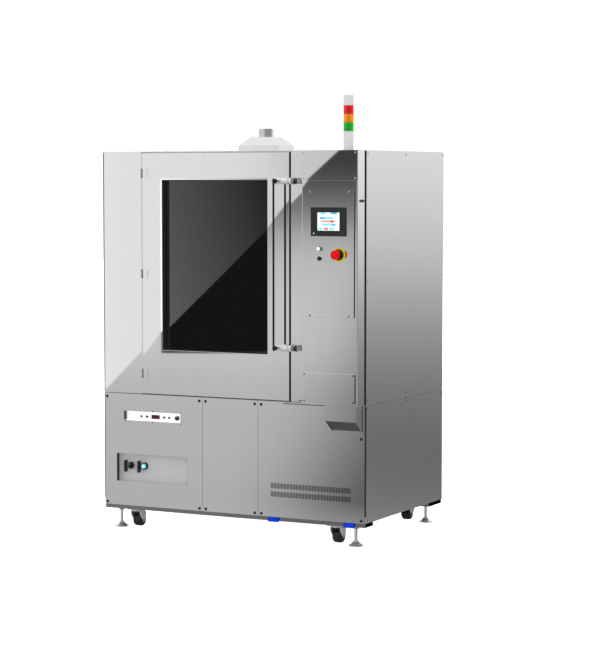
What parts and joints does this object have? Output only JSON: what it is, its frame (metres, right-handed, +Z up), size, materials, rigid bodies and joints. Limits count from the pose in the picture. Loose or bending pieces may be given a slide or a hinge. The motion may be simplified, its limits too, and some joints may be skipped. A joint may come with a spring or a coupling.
{
  "type": "resin printer",
  "caption": "Floor-standing vat resin printer: sheet-steel cabinet with a windowed door, a control column, a roof exhaust and signal tower, on feet and casters.",
  "frame": {"origin": "on the floor under the middle of the whole footprint, emergency stop and rear screws included", "axes": "+Z up, +Y from the door to the back, +X to the right seen from the front"},
  "size_m": [1.457, 1.0484, 2.143],
  "materials": {
    "polished_steel": "polished stainless steel sheet",
    "frame_steel": "grey powder coat on square tube",
    "beam_steel": "dark grey powder coat",
    "zinc": "bright zinc",
    "chrome": "bright chrome",
    "black_plastic": "fine moulded texture",
    "red_plastic": "gloss",
    "yellow_plastic": "satin",
    "green_lens": "translucent lens",
    "amber_lens": "translucent lens",
    "red_lens": "translucent lens",
    "pale_green_lens": "lit translucent lens",
    "cyan_lens": "lit translucent lens",
    "white_plastic": "satin",
    "blue_plastic": "satin",
    "display": "lit display under a clear cover",
    "smoked_glass": "smoked safety glass",
    "black_tyre": "hard rubber tread",
    "electronics": "housings of supplies and drives"
  },
  "bodies": {
    "cabinet": {"base_beams": "beam_steel", "frame_tubes": "frame_steel", "decks": "frame_steel", "roof_panel": "polished_steel", "rear_panels": "polished_steel", "side_panels": "polished_steel", "front_frame": "polished_steel", "base_panels": "polished_steel", "chamber_liner": "polished_steel", "column_housing": "polished_steel", "column_covers": "polished_steel", "control_plate": "polished_steel", "column_skirt": "polished_steel", "panel_screws": "zinc", "quarter_turns": "zinc", "rail_clips": "blue_plastic", "exhaust_hood": "polished_steel", "tower_body": "white_plastic", "tower_green": "green_lens", "tower_amber": "amber_lens", "tower_red": "red_lens", "hmi_bezel": "black_plastic", "display_glass": "display", "estop_ring": "yellow_plastic", "button_bezels": "black_plastic", "controller_panel": "white_plastic", "switch_tray": "polished_steel", "hinge_leaves": "zinc", "latch_keepers": "black_plastic", "resin_vat": "polished_steel", "linear_rails": "frame_steel", "scan_head": "beam_steel", "electrics": "electronics", "undercarriage_plates": "zinc"},
    "door": {"door_shell": "polished_steel", "door_glass": "smoked_glass", "door_fittings": "chrome"},
    "latch": {"latch_bar": "chrome"},
    "emergency_stop": {"estop_button": "red_plastic"},
    "start_key": {"start_button": "pale_green_lens"},
    "reset_key": {"reset_button": "black_plastic"},
    "power_key": {"power_button": "cyan_lens"},
    "main_switch_knob": {"main_switch": "black_plastic"},
    "controller_dial": {"controller_knob": "black_plastic"},
    "platform": {"build_platform": "polished_steel"},
    "recoat_carriage": {"recoater": "polished_steel"},
    "fan": {"exhaust_rotor": "beam_steel"},
    "fork_fl": {"caster_fork_fl": "zinc"},
    "wheel_fl": {"caster_wheel_fl": "black_tyre"},
    "levelling_fl": {"foot_fl": "zinc"},
    "fork_fr": {"caster_fork_fr": "zinc"},
    "wheel_fr": {"caster_wheel_fr": "black_tyre"},
    "levelling_fr": {"foot_fr": "zinc"},
    "fork_rl": {"caster_fork_rl": "zinc"},
    "wheel_rl": {"caster_wheel_rl": "black_tyre"},
    "levelling_rl": {"foot_rl": "zinc"},
    "fork_rr": {"caster_fork_rr": "zinc"},
    "wheel_rr": {"caster_wheel_rr": "black_tyre"},
    "levelling_rr": {"foot_rr": "zinc"}
  },
  "joints": [
    {"name": "door_swing", "type": "hinge", "parent": "cabinet", "child": "door", "pos_m": [-0.502, -0.39275, 1.2805], "axis": [0, 0, -1], "range_deg": [0, 115]},
    {"name": "latch_slide", "type": "slide", "parent": "door", "child": "latch", "axis": [1, 0, 0], "range_m": [0, 0.026]},
    {"name": "estop_press", "type": "slide", "parent": "cabinet", "child": "emergency_stop", "axis": [0, 1, 0], "range_m": [0, 0.005]},
    {"name": "start_press", "type": "slide", "parent": "cabinet", "child": "start_key", "axis": [0, 1, 0], "range_m": [0, 0.003], "stiffness_N_per_m": 300},
    {"name": "reset_press", "type": "slide", "parent": "cabinet", "child": "reset_key", "axis": [0, 1, 0], "range_m": [0, 0.003], "stiffness_N_per_m": 300},
    {"name": "power_press", "type": "slide", "parent": "cabinet", "child": "power_key", "axis": [0, 1, 0], "range_m": [0, 0.003], "stiffness_N_per_m": 300},
    {"name": "main_switch_turn", "type": "hinge", "parent": "cabinet", "child": "main_switch_knob", "pos_m": [-0.585, -0.36725, 0.316], "axis": [0, 1, 0], "range_deg": [0, 90]},
    {"name": "dial_turn", "type": "hinge", "parent": "cabinet", "child": "controller_dial", "pos_m": [-0.316, -0.36925, 0.566], "axis": [0, 1, 0], "range_deg": [-140, 140]},
    {"name": "platform_lift", "type": "slide", "parent": "cabinet", "child": "platform", "axis": [0, 0, 1], "range_m": [-0.24, 0.2]},
    {"name": "recoater_sweep", "type": "slide", "parent": "cabinet", "child": "recoat_carriage", "axis": [0, 1, 0], "range_m": [0, 0.48]},
    {"name": "fan_spin", "type": "hinge", "parent": "cabinet", "child": "fan", "pos_m": [0, -0.01925, 1.885], "axis": [0, 0, 1], "continuous": true},
    {"name": "caster_swivel_fl", "type": "hinge", "parent": "cabinet", "child": "fork_fl", "pos_m": [-0.559, -0.34925, 0.088], "axis": [0, 0, 1], "continuous": true},
    {"name": "caster_roll_fl", "type": "hinge", "parent": "fork_fl", "child": "wheel_fl", "pos_m": [-0.559, -0.32925, 0.0395], "axis": [1, 0, 0], "continuous": true},
    {"name": "foot_turn_fl", "type": "hinge", "parent": "cabinet", "child": "levelling_fl", "pos_m": [-0.656, -0.34225, 0.05], "axis": [0, 0, 1], "continuous": true},
    {"name": "caster_swivel_fr", "type": "hinge", "parent": "cabinet", "child": "fork_fr", "pos_m": [0.559, -0.34925, 0.088], "axis": [0, 0, 1], "continuous": true},
    {"name": "caster_roll_fr", "type": "hinge", "parent": "fork_fr", "child": "wheel_fr", "pos_m": [0.559, -0.32925, 0.0395], "axis": [1, 0, 0], "continuous": true},
    {"name": "foot_turn_fr", "type": "hinge", "parent": "cabinet", "child": "levelling_fr", "pos_m": [0.656, -0.34225, 0.05], "axis": [0, 0, 1], "continuous": true},
    {"name": "caster_swivel_rl", "type": "hinge", "parent": "cabinet", "child": "fork_rl", "pos_m": [-0.559, 0.48475, 0.088], "axis": [0, 0, 1], "continuous": true},
    {"name": "caster_roll_rl", "type": "hinge", "parent": "fork_rl", "child": "wheel_rl", "pos_m": [-0.559, 0.46475, 0.0395], "axis": [1, 0, 0], "continuous": true},
    {"name": "foot_turn_rl", "type": "hinge", "parent": "cabinet", "child": "levelling_rl", "pos_m": [-0.656, 0.47775, 0.05], "axis": [0, 0, 1], "continuous": true},
    {"name": "caster_swivel_rr", "type": "hinge", "parent": "cabinet", "child": "fork_rr", "pos_m": [0.559, 0.48475, 0.088], "axis": [0, 0, 1], "continuous": true},
    {"name": "caster_roll_rr", "type": "hinge", "parent": "fork_rr", "child": "wheel_rr", "pos_m": [0.559, 0.46475, 0.0395], "axis": [1, 0, 0], "continuous": true},
    {"name": "foot_turn_rr", "type": "hinge", "parent": "cabinet", "child": "levelling_rr", "pos_m": [0.656, 0.47775, 0.05], "axis": [0, 0, 1], "continuous": true}
  ]
}
